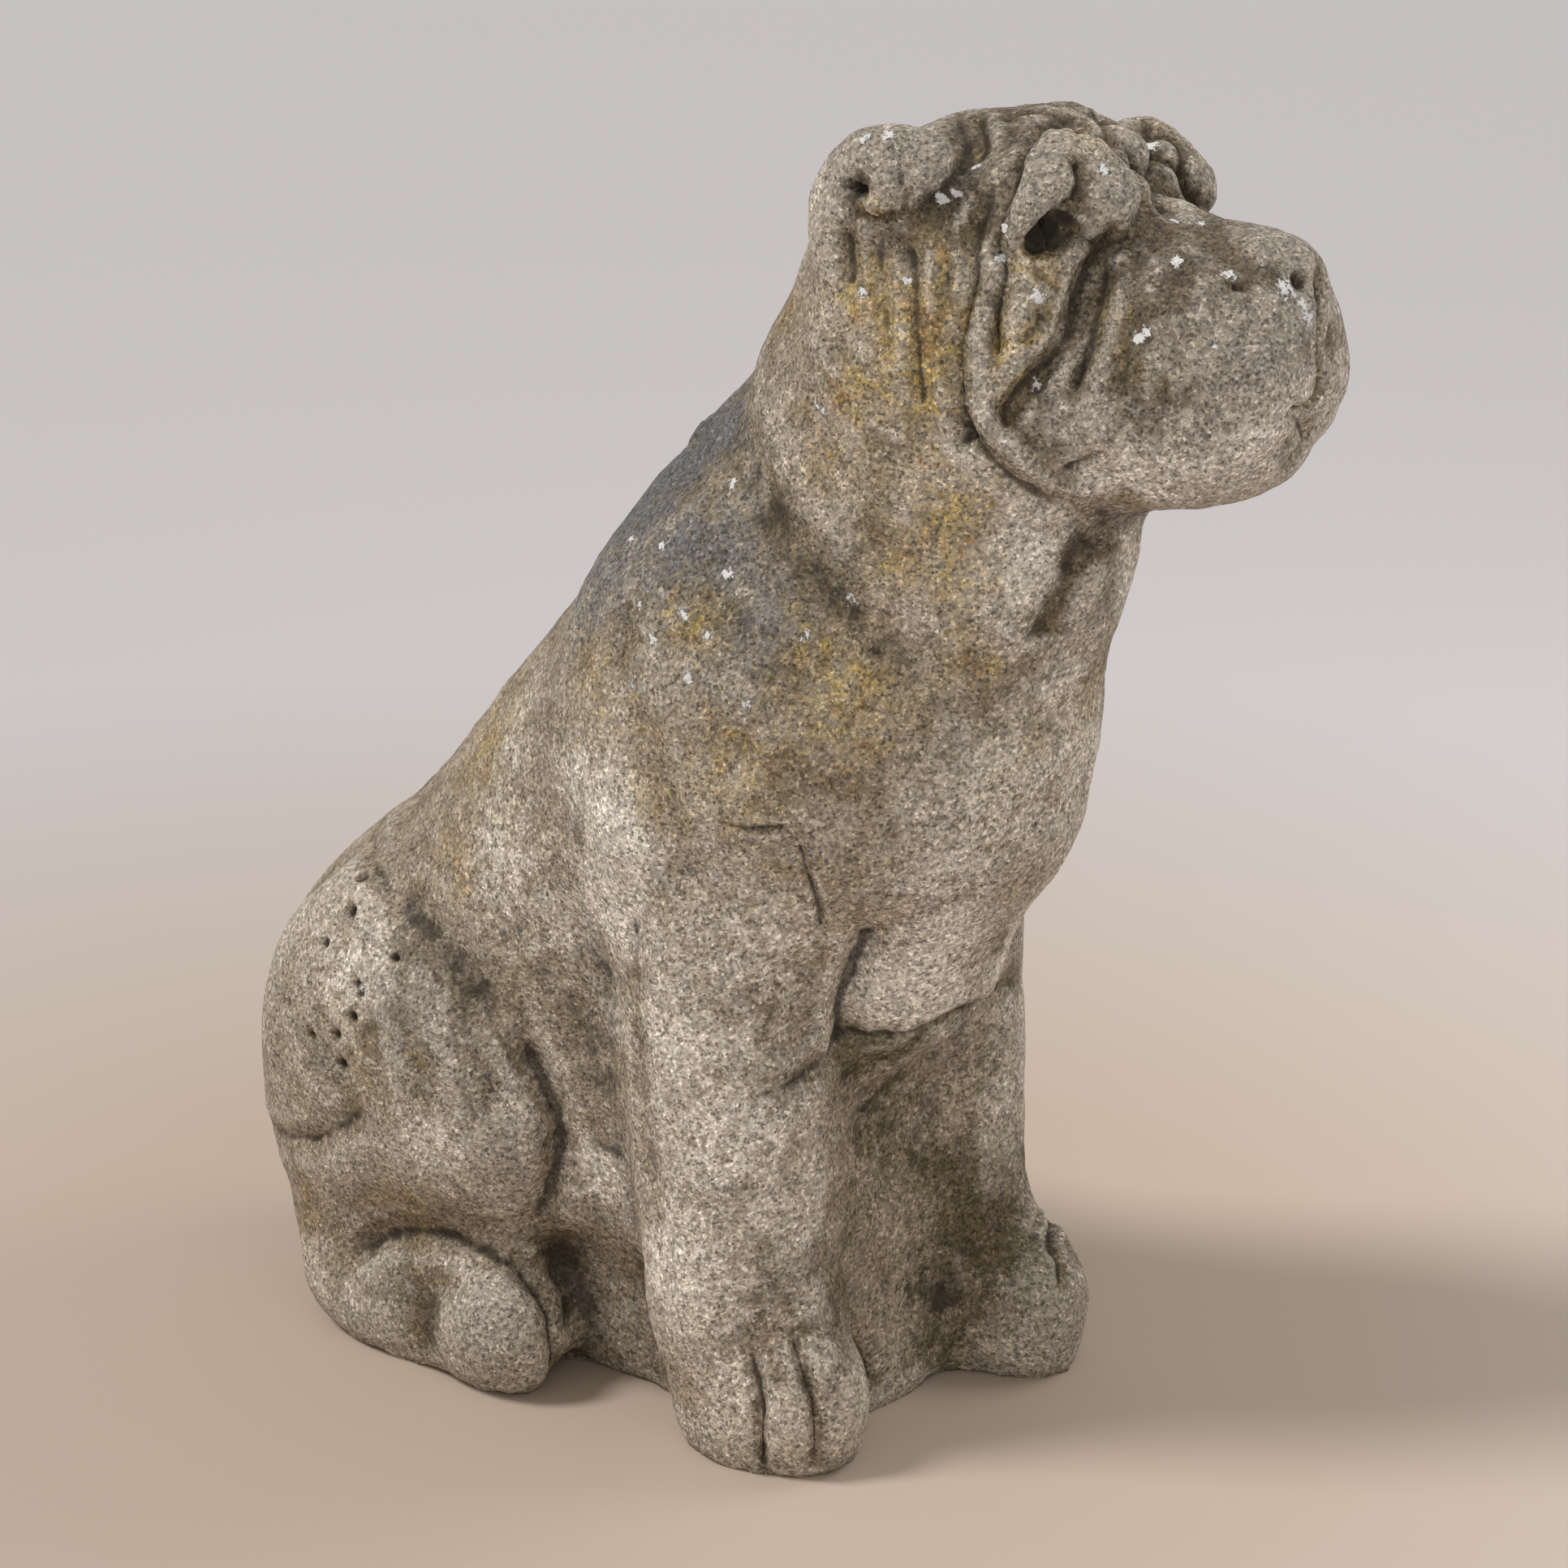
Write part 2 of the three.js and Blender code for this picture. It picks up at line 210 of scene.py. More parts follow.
# %% [markdown]
# ## What is carved
#
# Each mark has a half width and a depth in millimetres. A negative depth raises the stone. The
# folds of the face run down from behind the eye and the ear, and meet in the deep hollow behind the
# jaw. The brow is wrinkled by thin lines of its own, and the lines of the nose are only where the
# camera sees them.

# %% Folds of the face
FACE_FOLDS = {
    "fold behind the eye": ([(1226, 232), (1214, 262), (1205, 298), (1205, 345), (1194, 385),
                             (1183, 440), (1186, 498), (1190, 540)], 4.8, 5.2),
    "fold below the eye": ([(1252, 210), (1238, 245), (1231, 298), (1240, 330), (1230, 383),
                            (1230, 440)], 4.5, 5.0),
    "lip fold": ([(1371, 284), (1357, 306), (1342, 330), (1330, 362), (1324, 388), (1314, 418),
                  (1290, 447), (1257, 480), (1241, 504), (1238, 523)], 4.6, 5.8),
    "short fold": ([(1286, 388), (1273, 404), (1258, 424)], 4, 3.6),
    "behind the jaw": ([(1180, 522), (1212, 558), (1256, 600), (1300, 622)], 5, 2.8),
    "fold under the brow": ([(1361, 287), (1372, 300), (1396, 290)], 4, 3.2),
    "fold on the lip": ([(1364, 330), (1353, 372), (1346, 405), (1337, 440),
                         (1324, 480)], 4.5, 4.0),
    "fold over the muzzle": ([(1457, 326), (1445, 361), (1435, 376)], 6, 2.2),
    "fold beside the muzzle": ([(1402, 396), (1392, 430), (1384, 476)], 6, 1.6),
    "fold under the ear": ([(1044, 286), (1046, 320), (1046, 348)], 4.5, 3.0),
    "cheek fold": ([(1120, 304), (1126, 345), (1128, 400), (1134, 457), (1138, 500)], 4.4, 2.4),
    "front cheek fold": ([(1088, 282), (1084, 320), (1088, 370), (1096, 430)], 4.4, 1.3),
    "fold before the cheek": ([(1168, 330), (1166, 370), (1158, 420), (1160, 470)], 4.4, 1.3),
}
BROW_LINES = {
    "outer brow line": ([(1240, 232), (1262, 182), (1290, 160), (1325, 154), (1366, 179),
                         (1396, 214), (1407, 246), (1396, 275)], 4.6, 3.6),
    "lid line": ([(1327, 198), (1329, 225), (1326, 250)], 3.6, 5.0),
    "lid edge": ([(1322, 246), (1304, 262), (1284, 284), (1264, 303)], 4.2, 5.6),
    "under the eye": ([(1268, 308), (1296, 304), (1324, 290), (1340, 296), (1356, 306)], 3.4, 2.4),
    "ear to skull": ([(1182, 146), (1190, 178), (1187, 205), (1165, 240), (1132, 262)], 6.5, 5.0),
    "second line by the ear": ([(1208, 144), (1213, 168), (1208, 190)], 4, 3.0),
    "forehead line": ([(1290, 128), (1330, 140), (1372, 150), (1412, 176)], 5, 2.0),
    "second forehead line": ([(1232, 150), (1262, 142), (1300, 143), (1340, 152)], 4, 1.6),
    "far brow wrinkle": ([(1421, 178), (1440, 200), (1462, 225), (1480, 255)], 4.5, 3.0),
    "between the brows": ([(1412, 150), (1420, 195), (1425, 235), (1432, 262)], 6.5, 4.4),
}
MUZZLE_LINES = {
    "front of the nose": ([(1622, 330), (1625, 372), (1623, 430), (1620, 487),
                           (1596, 512)], 3.8, 4.0),
    "below the nose": ([(1596, 510), (1607, 530), (1603, 553), (1586, 573)], 3.6, 2.6),
    "edge of the lip": ([(1350, 560), (1332, 572), (1314, 584)], 3.6, 3.6),
}
MUZZLE_VALLEYS = {
    "lower lip": ([(1380, 606), (1422, 602), (1480, 599)], 5, 1.4),
    "lip line": ([(1600, 520), (1570, 516), (1530, 530), (1480, 560), (1420, 580),
                  (1360, 580)], 5, 0.9),
    "bridge": ([(1490, 262), (1500, 300), (1540, 330)], 7, 1.2),
}
print(len(FACE_FOLDS) + len(BROW_LINES) + len(MUZZLE_LINES), "lines on the head")

# %% [markdown]
# Rounded marks come next: a dab swells or hollows the stone round one point. The ear is a thick
# rolled flap with a hole under it, the brow bulges over a sunk eye, and the nostrils are small deep
# holes. A hollow gets dirt and painted shade, and a dab doesn't.

# %% Dabs on the head
HEAD_HOLLOWS = {
    "ear hole": ([(1057, 226), (1051, 242)], 5.0, 8.0),
    "under the ear lump": ([(1052, 264), (1074, 266), (1106, 266)], 3.2, 2.6),
    "eye": ([(1284, 294), (1304, 284), (1322, 266)], 5.2, 5.6),
    "hollow behind the jaw": ([(1182, 500), (1186, 525), (1196, 552)], 6, 5.0),
}
HEAD_DABS = {
    "ear lump": ([(1072, 252), (1082, 256)], 4.5, -3.0),
    "ear flap": ([(1052, 196), (1090, 172), (1140, 176), (1160, 200)], 13, -2.2),
    "ear dip": ([(1100, 225), (1128, 232)], 10, 2.2),
    "inner lid": ([(1350, 222), (1366, 246), (1368, 270)], 9, -3.0),
    "upper lid": ([(1286, 235), (1303, 222)], 9, -2.6),
    "lip bulge": ([(1290, 350), (1270, 390), (1268, 440)], 8, -2.0),
    "cheek bulge": ([(1108, 400), (1112, 460)], 9, -1.6),
    "jaw ridge": ([(1190, 494), (1230, 534), (1272, 574), (1304, 596), (1350, 602)], 4, -3.6),
    "ruff ridge": ([(1002, 411), (1054, 492), (1078, 525), (1116, 544)], 4.5, -2.0),
    "brow lump": ([(1425, 120)], 9, -2.2),
    "far brow lump": ([(1462, 215)], 9, -2.0),
    "brow rim": ([(1262, 150), (1300, 134), (1350, 136)], 9, -1.6),
}
NOSTRILS = {
    "nostril": ([(1600, 345)], 3.4, 8.0),
    "far nostril": ([(1639, 336), (1641, 350)], 3.2, 5.0),
    "nose pits": ([(1519, 350), (1535, 353)], 2.0, 2.6),
}
NOSE_DABS = {
    "nose side": ([(1572, 335)], 8, 1.6),
    "nose tip": ([(1610, 322)], 9, -1.6),
}
print(len(HEAD_HOLLOWS) + len(HEAD_DABS) + len(NOSTRILS) + len(NOSE_DABS), "dabs on the head")

# %% [markdown]
# The body has fewer and softer marks: the roll of loose skin on the neck, the hollow of the throat,
# the armpit, the line of the thigh over the belly, and the hock over the hind paw. Valleys are wide
# and shallow and get no dirt and no painted shade of their own. The throat's hollow is near the
# middle, so it has no mirror image, and neither have the cracks and the lines between the toes. The
# casting holes are pits that air bubbles left in the mould.

# %% Marks on the body
BODY_FOLDS = {
    "armpit": ([(1071, 1150), (1048, 1205), (1038, 1242), (1042, 1290)], 6, 5.0),
    "under the belly": ([(1072, 1325), (1120, 1290), (1190, 1250), (1262, 1205)], 7, 2.4),
    "thigh front": ([(640, 1285), (664, 1332), (684, 1376), (690, 1420), (678, 1468),
                     (664, 1500)], 6, 4.2),
    "thigh wrinkle": ([(582, 1303), (602, 1332), (605, 1350)], 5, 1.8),
    "rump line": ([(329, 1391), (362, 1402), (388, 1404), (417, 1390), (447, 1367)], 6.5, 2.4),
    "loin ridge": ([(462, 1030), (458, 1053), (466, 1075), (476, 1097)], 6, 1.6),
    "hock": ([(432, 1548), (476, 1523), (532, 1521), (587, 1538), (646, 1571), (675, 1609),
              (684, 1650), (681, 1700)], 6, 4.0),
}
THROAT = {
    "throat": ([(1288, 792), (1296, 760), (1318, 710), (1346, 660)], 10, 4.6),
}
BODY_VALLEYS = {
    "neck roll": ([(840, 551), (905, 590), (944, 636), (1010, 716), (1086, 810),
                   (1100, 830)], 14, 1.5),
    "neck roll edge": ([(1018, 420), (1044, 459), (1070, 520), (1088, 575), (1082, 640),
                        (1060, 720)], 8, 2.4),
    "thigh outline": ([(470, 1060), (520, 1150), (590, 1215), (640, 1280), (680, 1350),
                       (704, 1430)], 12, 2.4),
    "shoulder line": ([(776, 850), (800, 930), (826, 1010), (850, 1090)], 10, 2.6),
    "upper arm": ([(900, 905), (960, 960), (1030, 980), (1100, 960)], 14, 2.0),
    "foreleg edge": ([(776, 1100), (778, 1220), (786, 1330), (800, 1440), (808, 1540)], 9, 2.6),
    "chest hollow": ([(1350, 930), (1310, 975), (1262, 1012), (1200, 1030)], 11, 2.0),
    "flank hollow": ([(620, 1130), (680, 1230), (730, 1330), (745, 1430)], 16, 3.0),
    "hock hollow": ([(690, 1560), (700, 1640), (705, 1700)], 10, 2.6),
    "withers": ([(700, 800), (745, 790), (780, 760)], 14, 2.0),
}
BODY_DABS = {
    "hind paw": ([(600, 1640)], 20, -4.0),
    "hind paw hollow": ([(535, 1590), (520, 1650)], 10, 1.4),
    "elbow": ([(748, 1000), (758, 1060)], 12, -3.2),
    "nape lump": ([(852, 514), (862, 534)], 12, -5.0),
    "belly": ([(1140, 1200)], 20, -3.0),
    "haunch": ([(470, 1290), (560, 1280)], 24, -2.6),
    "knee": ([(620, 1400)], 20, -2.0),
    "breast": ([(1200, 880)], 26, -2.0),
    "paw knuckles": ([(905, 1690), (965, 1680), (1030, 1690)], 8, -1.6),
    "far paw knuckles": ([(1270, 1530), (1320, 1540)], 8, -1.4),
}
CRACKS = {
    "crack over the leg": ([(896, 1016), (929, 1023), (965, 1021)], 2.0, 2.6),
    "crack down the leg": ([(985, 1043), (997, 1083), (1010, 1126), (1012, 1146)], 2.0, 2.8),
    "toe line": ([(926, 1668), (935, 1715), (938, 1760), (938, 1806)], 3.2, 4.2),
    "second toe line": ([(978, 1650), (992, 1694), (1003, 1731), (1004, 1800)], 3.2, 4.6),
    "paw edge": ([(1047, 1630), (1062, 1660), (1076, 1700)], 3.2, 2.2),
    "far toe line": ([(1289, 1503), (1291, 1531), (1304, 1554), (1310, 1582)], 2.8, 3.0),
    "far second toe line": ([(1318, 1510), (1330, 1536), (1338, 1566)], 2.8, 2.2),
}
CAST_HOLES = [
    (443, 1077), (430, 1121), (398, 1162), (355, 1236), (485, 1179), (437, 1213), (442, 1223),
    (434, 1253), (383, 1275), (413, 1275), (420, 1312),
]
HOLE_WIDTH, HOLE_DEPTH = 2.4, 4.0  # half width and depth, as for the other marks
print(len(BODY_FOLDS) + len(BODY_VALLEYS) + len(BODY_DABS) + len(CRACKS), "marks on the body,",
      len(CAST_HOLES), "holes")


def marks(table, plane=None):
    """The lines of a table on the near side, and their mirror image if there is a plane."""
    made = []
    for pixels, width, depth in table.values():
        line = resampled([on_stone(p) for p in pixels])
        made.append((line, width * MM, depth * MM))
        if plane:
            far_line = resampled(mirrored(line[::4] + [line[-1]], plane))
            made.append((far_line, width * MM, depth * MM))
    return made


# %% [markdown]
# ## Finer squares where it is carved
#
# Even squares over the whole figure would either be too coarse for the face or far too many. So the
# squares near a small mark are selected and subdivided, as by hand in edit mode, and those right at
# a sharp cut are subdivided once more.

# %% Lay the marks
folds = (marks(FACE_FOLDS, HEAD) + marks(BROW_LINES, HEAD) + marks(MUZZLE_LINES)
         + marks(BODY_FOLDS, BODY))
valleys = marks(MUZZLE_VALLEYS, HEAD) + marks(BODY_VALLEYS, BODY) + marks(THROAT)
hollows = marks(HEAD_HOLLOWS, HEAD) + marks(NOSTRILS)
dabs = marks(HEAD_DABS, HEAD) + marks(NOSE_DABS) + marks(BODY_DABS, BODY)
cracks = marks(CRACKS)
holes = [([on_stone(p)], HOLE_WIDTH * MM, HOLE_DEPTH * MM) for p in CAST_HOLES]
holes += [(mirrored(line, BODY), width, depth) for line, width, depth in holes]
print(len(folds + valleys + hollows + dabs + cracks + holes), "marks with their mirror images")

# %% Refine the skin under them
SMALL_MARK = 9 * MM  # a mark of less half width needs finer squares
AROUND_MARK = 6 * MM  # how far the finer squares reach
AT_CUT = 2.2 * MM  # and how far the finest


def near_any(points, lines, reach):
    """Which of the points are within reach of a line."""
    found = np.zeros(len(points), bool)
    for line in lines:
        ends = np.array(line)
        box = (points > ends.min(0) - reach).all(1) & (points < ends.max(0) + reach).all(1)
        index = np.flatnonzero(box & ~found)
        if len(index):
            away = np.linalg.norm(points[index, None] - ends[None, ::3], axis=2).min(1)
            found[index[away < reach]] = True
    return found


def refine(piece, lines, reach):
    """Splits every face within reach of a line into four."""
    mesh = piece.data
    centres = np.empty(len(mesh.polygons) * 3)
    mesh.polygons.foreach_get("center", centres)
    near = near_any(centres.reshape(-1, 3), lines, reach)
    mesh.vertices.foreach_set("select", np.zeros(len(mesh.vertices), bool))
    mesh.edges.foreach_set("select", np.zeros(len(mesh.edges), bool))
    mesh.polygons.foreach_set("select", near)
    select_only(piece)
    bpy.context.tool_settings.mesh_select_mode = (False, False, True)
    bpy.ops.object.mode_set(mode="EDIT")
    bpy.ops.mesh.subdivide(number_cuts=1, smoothness=0)
    bpy.ops.object.mode_set(mode="OBJECT")
    print("refined", near.sum(), "faces to", len(mesh.polygons))


small_marks = [line for line, width, _ in folds + hollows + dabs if width < SMALL_MARK]
cuts = [line for line, _, _ in folds + hollows + holes + cracks]
refine(skin, small_marks + cuts, AROUND_MARK)
refine(skin, cuts, AT_CUT)

# %% [markdown]
# ## Carving
#
# A worn groove has soft lips, so the profile of a fold is a smooth valley with a sharp middle and a
# slight rise on either side. Rain has worn some stretches of a line more than others, and a smooth
# noise makes them shallower or deeper. All marks are added up before the skin moves, each vertex
# along its own normal, so that crossing folds don't tear the surface. The bottom of a mark counts
# as groove or hollow for the dirt and the painted shade: only the sharp middle of a fold, but
# nearly all of a hole.

# %% Carve the skin
REACH = 3  # half widths from a line at which its effect ends
FACING = 0.1  # a point is carved if its normal leans at least this much the way of the mark's
END_DEPTH = 0.35  # share of the depth at a line's two ends
END_LENGTH = 1 / 8  # share of the line over which it grows
WORN = 0.8  # how much the rain has changed a line's depth from place to place
UNEVEN = 14 * MM  # how far apart the more and the less worn stretches lie
SHALLOWEST, DEEPEST = 0.6, 1.2  # limits of that change
LIP = 0.25  # height of the rise beside a fold, as a share of its depth
LIP_AT, LIP_WIDTH = 1.6, 0.6  # where the rise lies and how wide it is, in half widths
SHARP = 0.4  # share of the depth that the sharp middle has
GROOVE = 0.35  # the sharp middle of a fold, as a share of its half width
OPEN = 0.9  # the same for a hole or a hollow, which is open all over
FULL_DIRT_AND_SHADE = 3 * MM  # a mark of this depth gets as much dirt and painted shade as it can
FOOT = 8 * MM  # the carving fades out over this height above the floor


def coordinates(mesh):
    flat = np.empty(len(mesh.vertices) * 3)
    mesh.vertices.foreach_get("co", flat)
    return flat.reshape(-1, 3)


def directions(mesh):
    flat = np.empty(len(mesh.vertices) * 3)
    mesh.vertex_normals.foreach_get("vector", flat)
    return flat.reshape(-1, 3)


def closeness(points, normals, line, width):
    """The points a line reaches, how far off each is in half widths, and its share of depth."""
    reach = REACH * width
    ends = np.array(line)
    box = (points > ends.min(0) - reach).all(1) & (points < ends.max(0) + reach).all(1)
    index = np.flatnonzero(box)
    gaps = np.linalg.norm(points[index, None] - ends[None], axis=2)
    nearest = gaps.argmin(1)
    facing = np.array([blank.find_nearest(p)[1] for p in line])[nearest]
    same_side = (normals[index] * facing).sum(1) > FACING
    share = np.ones(len(index))
    if len(line) > 1:
        along = nearest / (len(line) - 1)
        wear = [1 + WORN * noise.noise(p / UNEVEN) for p in line]
        share = np.clip(np.minimum(along, 1 - along) / END_LENGTH + END_DEPTH, 0, 1)
        share = share * np.clip(wear, SHALLOWEST, DEEPEST)[nearest]
    return index[same_side], gaps.min(1)[same_side] / width, share[same_side]


def carve(points, normals, lines, lip, core):
    """How far each point sinks, and how much it lies at the bottom of a mark, from 0 to 1."""
    sink = np.zeros(len(points))
    bottom = np.zeros(len(points))
    for line, width, depth in lines:
        index, away, share = closeness(points, normals, line, width)
        valley = np.exp(-away**2)
        cut = np.exp(-(away / core) ** 2)
        rise = np.exp(-((away - LIP_AT) / LIP_WIDTH) ** 2)
        sink[index] += depth * share * ((1 - SHARP) * valley + SHARP * cut - lip * rise)
        if depth > 0:
            # Dirt and painted shade at the bottom of a sunk mark.
            dirt_and_shade = cut * share * min(1, depth / FULL_DIRT_AND_SHADE)
            bottom[index] = np.maximum(bottom[index], dirt_and_shade)
    return sink, bottom


points = coordinates(skin.data)
normals = directions(skin.data)
uncarved = points.copy()
fold_sink, groove = carve(points, normals, folds + cracks, LIP, GROOVE)
hollow_sink, hollow_dirt_and_shade = carve(points, normals, hollows, 0, OPEN)
hole_sink, hole = carve(points, normals, holes, 0, OPEN)
soft_sink, _ = carve(points, normals, valleys + dabs, 0, OPEN)
floor_fade = np.clip(points[:, 2] / FOOT, 0, 1)
sink = (fold_sink + hollow_sink + hole_sink + soft_sink) * floor_fade
points -= normals * sink[:, None]
skin.data.vertices.foreach_set("co", points.ravel())
skin.data.update()
apply_modifier(skin, "SMOOTH", factor=0.3, iterations=1)
print("carved down to", round(float(sink.max()) / MM, 1), "mm")

# %% [markdown]
# ## Weathering
#
# Rain takes the cement before the sand, so an old casting is uneven at every scale. Three layers of
# clouds push the skin in and out by up to a millimetre or two. The finest grain is too small for
# the mesh, and is left to the material's bump. The underside is then set flat on the floor again.

# %% Wear the surface
WEAR = [  # size of the unevenness and how far it moves the skin, in millimetres
    (45, 3.0),
    (14, 1.4),
    (5, 0.8),
]
FLAT_BELOW = 1.5 * MM  # what lies lower is set on the floor
for size, strength in WEAR:
    clouds = bpy.data.textures.new(f"wear {size} mm", "CLOUDS")
    clouds.noise_scale = size * MM
    clouds.noise_depth = 2
    apply_modifier(skin, "DISPLACE", texture=clouds, strength=strength * MM, mid_level=0.5)

points = coordinates(skin.data)
points[points[:, 2] < FLAT_BELOW, 2] = 0
skin.data.vertices.foreach_set("co", points.ravel())
skin.data.update()
print(len(WEAR), "layers of wear,", (points[:, 2] == 0).sum(), "vertices on the floor")

# %% [markdown]
# ## Where the weather has left its colours, and where light and shade are painted
#
# Lichen, moss and bare pale stone have their own places, and so have some painted light and shade.
# Each place is a pixel of the photograph with a radius in millimetres and a strength, and the far
# side gets the mirror image, except for the moss. Ochre lichen grows on the cheek, the neck and the
# shoulder. Damp keeps the brow, muzzle and haunch dark, and slate grey covers the nape. Moss sits
# between the legs. The small crusts are white lichen. The black spots are painted shade in the
# deepest parts of the eye, the ear hole and the nostrils, where hardly any light comes back. Some
# pale spots are painted light: down the lit front edge of the near foreleg, and on the belly and
# the front of the neck where the lamps leave them in shade. Two dark spots on the shaded side of
# the near foreleg and two in the hollow of the throat are painted shade.

# %% Places of the colours
OCHRE_ON_HEAD = [
    ((1070, 360), 18, 0.9), ((1130, 440), 24, 1.1), ((1150, 380), 20, 1), ((1078, 254), 6, 1.6),
    ((1250, 420), 14, 1), ((1285, 330), 12, 0.8), ((1280, 370), 12, 0.8), ((1235, 470), 12, 0.9),
    ((1150, 500), 22, 0.8), ((1060, 480), 20, 0.7), ((1160, 330), 14, 0.6), ((1230, 130), 8, 0.5),
    ((1450, 140), 10, 0.7), ((1370, 380), 8, 0.6), ((1050, 560), 20, 0.6),
]
OCHRE_ON_BODY = [
    ((1170, 640), 26, 1), ((1180, 710), 22, 0.9), ((1120, 690), 20, 0.7), ((970, 380), 12, 0.8),
    ((1040, 870), 34, 0.9), ((900, 960), 30, 0.7), ((1180, 820), 22, 0.6), ((860, 760), 24, 0.5),
    ((1340, 880), 22, 0.6), ((740, 850), 26, 0.6), ((560, 1080), 26, 0.5), ((600, 900), 26, 0.6),
    ((820, 1010), 22, 0.5), ((460, 1330), 24, 0.5), ((380, 1500), 22, 0.4), ((500, 1480), 24, 0.4),
    ((1020, 1080), 18, 0.5), ((890, 590), 16, 0.4),
]
# Partly painted light: the spots down the lit front edge of the near foreleg, and those on the
# belly and the front of the neck, which the lamps leave in shade. The rest are bare pale stone.
PALE_AND_PAINTED_LIGHT_ON_BODY = [
    ((755, 1030), 22, 1.4), ((750, 1110), 26, 1.2), ((700, 1150), 26, 0.7), ((720, 960), 26, 0.8),
    ((760, 1240), 20, 0.7), ((860, 1280), 30, 0.7), ((900, 1400), 34, 0.8), ((960, 1480), 34, 0.6),
    ((840, 1560), 34, 0.75), ((740, 1450), 26, 0.8), ((640, 900), 28, 0.5), ((620, 1060), 34, 0.6),
    ((1120, 1210), 30, 1.2), ((1180, 1060), 30, 0.6), ((1230, 650), 26, 0.7),
    ((1180, 760), 22, 0.5), ((430, 1200), 26, 0.6), ((540, 1400), 26, 0.6), ((620, 1330), 18, 0.5),
    ((1000, 1620), 16, 0.6), ((910, 600), 16, 0.4), ((1240, 960), 34, 0.8), ((1300, 860), 22, 0.7),
    ((930, 1150), 36, 0.7), ((1160, 1160), 26, 1), ((1180, 600), 20, 0.9), ((1240, 700), 30, 1.1),
    ((900, 1700), 18, 0.6), ((760, 1620), 26, 0.6),
]
PALE_ON_HEAD = [
    ((1400, 585), 18, 1), ((1550, 550), 24, 0.8), ((1460, 575), 28, 0.6), ((1610, 480), 12, 0.6),
    ((1600, 375), 9, 0.8), ((1640, 500), 14, 0.6), ((1180, 590), 22, 0.5), ((1350, 590), 12, 0.8),
]
DARK_ON_HEAD = [
    ((1480, 390), 46, 1.4), ((1540, 330), 34, 1.5), ((1330, 230), 36, 1.4), ((1100, 210), 28, 1.2),
    ((1200, 400), 30, 0.7), ((1170, 250), 22, 1), ((1580, 420), 30, 1.1), ((1400, 450), 30, 1.2),
    ((1250, 150), 30, 1.2), ((1440, 190), 26, 1.2), ((1300, 500), 24, 0.8),
]
# Partly painted shade: the spots at (975, 1320) and (985, 1450) on the shaded side of the near
# foreleg and those at (1310, 745) and (1330, 690) in the throat's hollow. The rest are damp stains.
DARK_AND_PAINTED_SHADE_ON_BODY = [
    ((860, 720), 34, 0.7), ((930, 800), 30, 0.6), ((1000, 720), 22, 0.5), ((960, 650), 18, 0.6),
    ((1310, 745), 12, 1), ((1330, 690), 12, 1), ((975, 1320), 14, 0.5), ((985, 1450), 12, 0.4),
    ((620, 1420), 22, 0.6), ((560, 1500), 22, 0.5), ((480, 1560), 24, 0.6), ((690, 1540), 14, 0.9),
    ((700, 1620), 12, 0.8), ((1200, 890), 26, 0.4), ((1230, 1500), 30, 0.8),
    ((1190, 1450), 20, 0.6), ((500, 1250), 36, 0.9), ((590, 1320), 32, 0.6), ((600, 1640), 26, 0.9),
    ((520, 1620), 22, 0.9), ((400, 1290), 24, 0.6), ((760, 800), 34, 0.5), ((440, 1640), 22, 0.5),
    ((860, 560), 30, 0.9),
]
SLATE_ON_BODY = [
    ((848, 535), 48, 1.1), ((792, 618), 50, 1), ((745, 695), 40, 0.8), ((870, 540), 28, 1.2),
    ((800, 620), 32, 1.2), ((850, 680), 34, 0.9), ((760, 700), 26, 0.8), ((940, 760), 30, 0.6),
    ((730, 760), 26, 0.6), ((880, 850), 30, 0.4),
]
MOSS_ON_BODY = [
    ((1060, 1300), 18, 1.3), ((1120, 1295), 16, 1.2), ((1190, 1250), 14, 1),
    ((1090, 1340), 14, 1.1), ((1090, 1400), 20, 0.9), ((1140, 1440), 24, 0.9),
    ((1060, 1480), 14, 0.6), ((1180, 1500), 22, 0.9), ((1130, 1560), 24, 0.7),
    ((1260, 1560), 26, 0.9), ((1300, 1600), 30, 1.1), ((1250, 1420), 26, 0.9),
    ((1240, 1300), 20, 0.7), ((1150, 1650), 24, 0.8), ((1060, 1750), 18, 0.6),
    ((660, 1540), 14, 0.7), ((470, 1600), 26, 0.5), ((640, 1650), 16, 0.3),
    ((1250, 1200), 12, 0.6),
]
BLACK_ON_HEAD = [
    ((1282, 296), 3.8, 1.2), ((1296, 288), 4.6, 1.3), ((1314, 272), 4.6, 1.3),
    ((1326, 235), 2.8, 1), ((1056, 230), 3.8, 1), ((1052, 243), 3.4, 1), ((1600, 345), 3.6, 1.1),
    ((1640, 342), 3.0, 1),
]
CRUST_ON_HEAD = [
    ((1062, 361), 2.6, 1), ((1117, 345), 2.2, 1), ((1277, 367), 3.0, 1), ((1268, 183), 2.6, 1),
    ((1166, 247), 2.6, 1), ((1181, 237), 2.2, 1), ((1203, 198), 2.6, 1), ((1360, 209), 3.0, 1),
    ((1451, 321), 3.0, 1), ((1402, 416), 2.6, 1), ((1412, 408), 2.6, 1), ((1495, 426), 2.2, 0.8),
    ((1515, 335), 3.4, 0.9), ((1421, 171), 3.0, 1), ((1394, 141), 2.4, 1), ((1478, 275), 2.6, 1),
    ((1446, 275), 2.4, 1), ((1237, 281), 2.4, 0.9), ((1232, 316), 2.6, 0.9),
    ((1277, 475), 2.6, 0.8), ((1068, 176), 2.8, 1), ((1097, 171), 3.0, 1), ((1608, 392), 5, 0.75),
    ((1586, 356), 6, 0.75), ((1604, 376), 4, 0.8),
]
